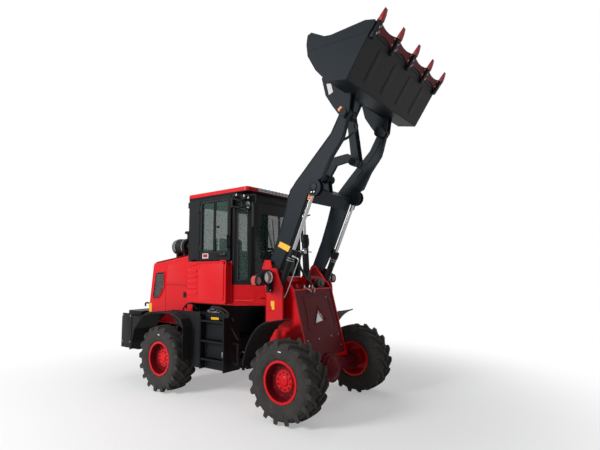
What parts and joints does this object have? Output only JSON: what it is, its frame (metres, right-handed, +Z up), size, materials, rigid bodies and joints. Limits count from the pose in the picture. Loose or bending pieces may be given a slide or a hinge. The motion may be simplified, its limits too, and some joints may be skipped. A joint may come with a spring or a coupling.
{
  "type": "articulated wheel loader",
  "caption": "Compact articulated wheel loader with enclosed cab, Z-bar boom raised and toothed bucket rolled back.",
  "frame": {"origin": "on the ground under the middle of the machine's length and width", "axes": "+X forward to the bucket, +Y to the operator's left, +Z up"},
  "size_m": [4.9468, 1.9864, 4.47],
  "materials": {
    "red": "gloss red paint",
    "black": "satin black paint",
    "slate": "satin dark slate paint",
    "tooth_red": "dark red paint",
    "tyre": "matte rubber",
    "chrome": "polished",
    "steel": "ground pins",
    "glass": "clear, slightly tinted",
    "plastic": "matte black",
    "vinyl": "black vinyl",
    "engine_grey": "painted cast iron"
  },
  "bodies": {
    "rear_frame": {"rear_frame": "black", "rear_axle": "red", "counterweight": "black", "hood": "red", "engine": "engine_grey", "panniers": "red", "rear_fenders": "black", "side_boxes": "black", "ladders": "black", "cab_shell": "black", "cab_roof": "red", "cab_floor": "red", "cab_glass": "glass", "seat": "vinyl", "steering_column": "plastic", "air_cleaner": "plastic", "mirrors": "plastic"},
    "front_frame": {"front_frame": "red", "front_axle": "red", "front_fenders": "black", "headlamps": "plastic"},
    "boom": {"boom_arms": "slate", "boom_crossmember": "slate"},
    "coupler_pins": {"coupler_pins": "steel"},
    "bucket": {"coupler": "slate", "bucket": "slate", "bucket_teeth": "tooth_red"},
    "rocker_pin": {"rocker_pin": "steel"},
    "rocker": {"rocker": "slate"},
    "link_pin": {"link_pin": "steel"},
    "link": {"link": "slate"},
    "tilt_barrel": {"tilt_barrel": "black"},
    "tilt_rod": {"tilt_rod": "chrome"},
    "door_right": {"door_right": "black", "door_right_glass": "glass"},
    "lift_barrel_right": {"lift_barrel_right": "black"},
    "lift_rod_right": {"lift_rod_right": "chrome"},
    "steer_barrel_right": {"steer_barrel_right": "black"},
    "steer_rod_right": {"steer_rod_right": "chrome"},
    "wheel_rear_right": {"tyre_rear_right": "tyre", "rim_rear_right": "red"},
    "wheel_front_right": {"tyre_front_right": "tyre", "rim_front_right": "red"},
    "door_left": {"door_left": "black", "door_left_glass": "glass"},
    "lift_barrel_left": {"lift_barrel_left": "black"},
    "lift_rod_left": {"lift_rod_left": "chrome"},
    "steer_barrel_left": {"steer_barrel_left": "black"},
    "steer_rod_left": {"steer_rod_left": "chrome"},
    "wheel_rear_left": {"tyre_rear_left": "tyre", "rim_rear_left": "red"},
    "wheel_front_left": {"tyre_front_left": "tyre", "rim_front_left": "red"}
  },
  "joints": [
    {"name": "wheel_rear_right", "type": "hinge", "parent": "rear_frame", "child": "wheel_rear_right", "pos_m": [-1.20337, -0.817, 0.47], "axis": [0, 1, 0], "continuous": true},
    {"name": "wheel_rear_left", "type": "hinge", "parent": "rear_frame", "child": "wheel_rear_left", "pos_m": [-1.20337, 0.817, 0.47], "axis": [0, 1, 0], "continuous": true},
    {"name": "wheel_front_right", "type": "hinge", "parent": "front_frame", "child": "wheel_front_right", "pos_m": [1.06663, -0.817, 0.47], "axis": [0, 1, 0], "continuous": true},
    {"name": "wheel_front_left", "type": "hinge", "parent": "front_frame", "child": "wheel_front_left", "pos_m": [1.06663, 0.817, 0.47], "axis": [0, 1, 0], "continuous": true},
    {"name": "articulation", "type": "hinge", "parent": "rear_frame", "child": "front_frame", "pos_m": [-0.06837, 0, 0.6], "axis": [0, 0, 1], "range_deg": [-35, 35]},
    {"name": "boom_lift", "type": "hinge", "parent": "front_frame", "child": "boom", "pos_m": [0.57663, 0, 1.72], "axis": [0, 1, 0], "range_deg": [0, 104]},
    {"name": "coupler_level", "type": "hinge", "parent": "boom", "child": "coupler_pins", "pos_m": [1.71663, 0, 3.6], "axis": [0, 1, 0], "range_deg": [-83.7, 0.5]},
    {"name": "bucket_tilt", "type": "hinge", "parent": "coupler_pins", "child": "bucket", "pos_m": [1.71663, 0, 3.6], "axis": [0, 1, 0], "range_deg": [0, 95]},
    {"name": "rocker_level", "type": "hinge", "parent": "boom", "child": "rocker_pin", "pos_m": [1.08663, 0, 2.97], "axis": [0, 1, 0], "range_deg": [-0.5, 24.26]},
    {"name": "rocker_tilt", "type": "hinge", "parent": "rocker_pin", "child": "rocker", "pos_m": [1.08663, 0, 2.97], "axis": [0, 1, 0], "range_deg": [-18.02, 0.5]},
    {"name": "link_level", "type": "hinge", "parent": "rocker", "child": "link_pin", "pos_m": [1.58163, 0, 3.105], "axis": [0, 1, 0], "range_deg": [-39.09, 0.5]},
    {"name": "link_tilt", "type": "hinge", "parent": "link_pin", "child": "link", "pos_m": [1.58163, 0, 3.105], "axis": [0, 1, 0], "range_deg": [-0.5, 45.51]},
    {"name": "tilt_barrel_swing", "type": "hinge", "parent": "front_frame", "child": "tilt_barrel", "pos_m": [0.75163, 0, 1.62], "axis": [0, 1, 0], "range_deg": [-0.5, 109.04]},
    {"name": "tilt_rod_slide", "type": "slide", "parent": "tilt_barrel", "child": "tilt_rod", "axis": [-0.0541, 0, 0.9985], "range_m": [-0.1929, 0.002]},
    {"name": "lift_barrel_right_swing", "type": "hinge", "parent": "front_frame", "child": "lift_barrel_right", "pos_m": [0.58663, -0.505, 1.25], "axis": [0, 1, 0], "range_deg": [-0.5, 94.45]},
    {"name": "lift_rod_right_slide", "type": "slide", "parent": "lift_barrel_right", "child": "lift_rod_right", "axis": [0.4078, 0, 0.9131], "range_m": [-0.7104, 0.002]},
    {"name": "lift_barrel_left_swing", "type": "hinge", "parent": "front_frame", "child": "lift_barrel_left", "pos_m": [0.58663, 0.505, 1.25], "axis": [0, 1, 0], "range_deg": [-0.5, 94.45]},
    {"name": "lift_rod_left_slide", "type": "slide", "parent": "lift_barrel_left", "child": "lift_rod_left", "axis": [0.4078, 0, 0.9131], "range_m": [-0.7104, 0.002]},
    {"name": "steer_barrel_right_swing", "type": "hinge", "parent": "rear_frame", "child": "steer_barrel_right", "pos_m": [-0.60337, -0.42, 0.6], "axis": [0, 0, 1], "range_deg": [-11.1, 11.1]},
    {"name": "steer_rod_right_slide", "type": "slide", "parent": "steer_barrel_right", "child": "steer_rod_right", "axis": [0.9902, 0.1398, 0], "range_m": [-0.2072, 0.2072]},
    {"name": "steer_barrel_left_swing", "type": "hinge", "parent": "rear_frame", "child": "steer_barrel_left", "pos_m": [-0.60337, 0.42, 0.6], "axis": [0, 0, 1], "range_deg": [-11.1, 11.1]},
    {"name": "steer_rod_left_slide", "type": "slide", "parent": "steer_barrel_left", "child": "steer_rod_left", "axis": [0.9902, -0.1398, 0], "range_m": [-0.2072, 0.2072]},
    {"name": "door_right", "type": "hinge", "parent": "rear_frame", "child": "door_right", "pos_m": [-0.68737, -0.708, 2.3], "axis": [0, 0, -1], "range_deg": [0, 95]},
    {"name": "door_left", "type": "hinge", "parent": "rear_frame", "child": "door_left", "pos_m": [-0.68737, 0.708, 2.3], "axis": [0, 0, 1], "range_deg": [0, 95]}
  ],
  "couplings": [
    {"joint": "coupler_level", "follows": "boom_lift", "ratio": -0.8},
    {"joint": "rocker_level", "follows": "boom_lift", "ratio": 0.2285},
    {"joint": "rocker_tilt", "follows": "bucket_tilt", "ratio": -0.18437},
    {"joint": "link_level", "follows": "boom_lift", "ratio": -0.3711},
    {"joint": "link_tilt", "follows": "bucket_tilt", "ratio": 0.4738},
    {"joint": "tilt_barrel_swing", "follows": "boom_lift", "ratio": 1.0437},
    {"joint": "tilt_rod_slide", "follows": "bucket_tilt", "m_per_rad": -0.11516},
    {"joint": "lift_barrel_right_swing", "follows": "boom_lift", "ratio": 0.90338},
    {"joint": "lift_rod_right_slide", "follows": "boom_lift", "m_per_rad": -0.39027},
    {"joint": "lift_barrel_left_swing", "follows": "boom_lift", "ratio": 0.90338},
    {"joint": "lift_rod_left_slide", "follows": "boom_lift", "m_per_rad": -0.39027},
    {"joint": "steer_barrel_right_swing", "follows": "articulation", "ratio": 0.30274},
    {"joint": "steer_rod_right_slide", "follows": "articulation", "m_per_rad": 0.33587},
    {"joint": "steer_barrel_left_swing", "follows": "articulation", "ratio": 0.30274},
    {"joint": "steer_rod_left_slide", "follows": "articulation", "m_per_rad": -0.33587}
  ]
}
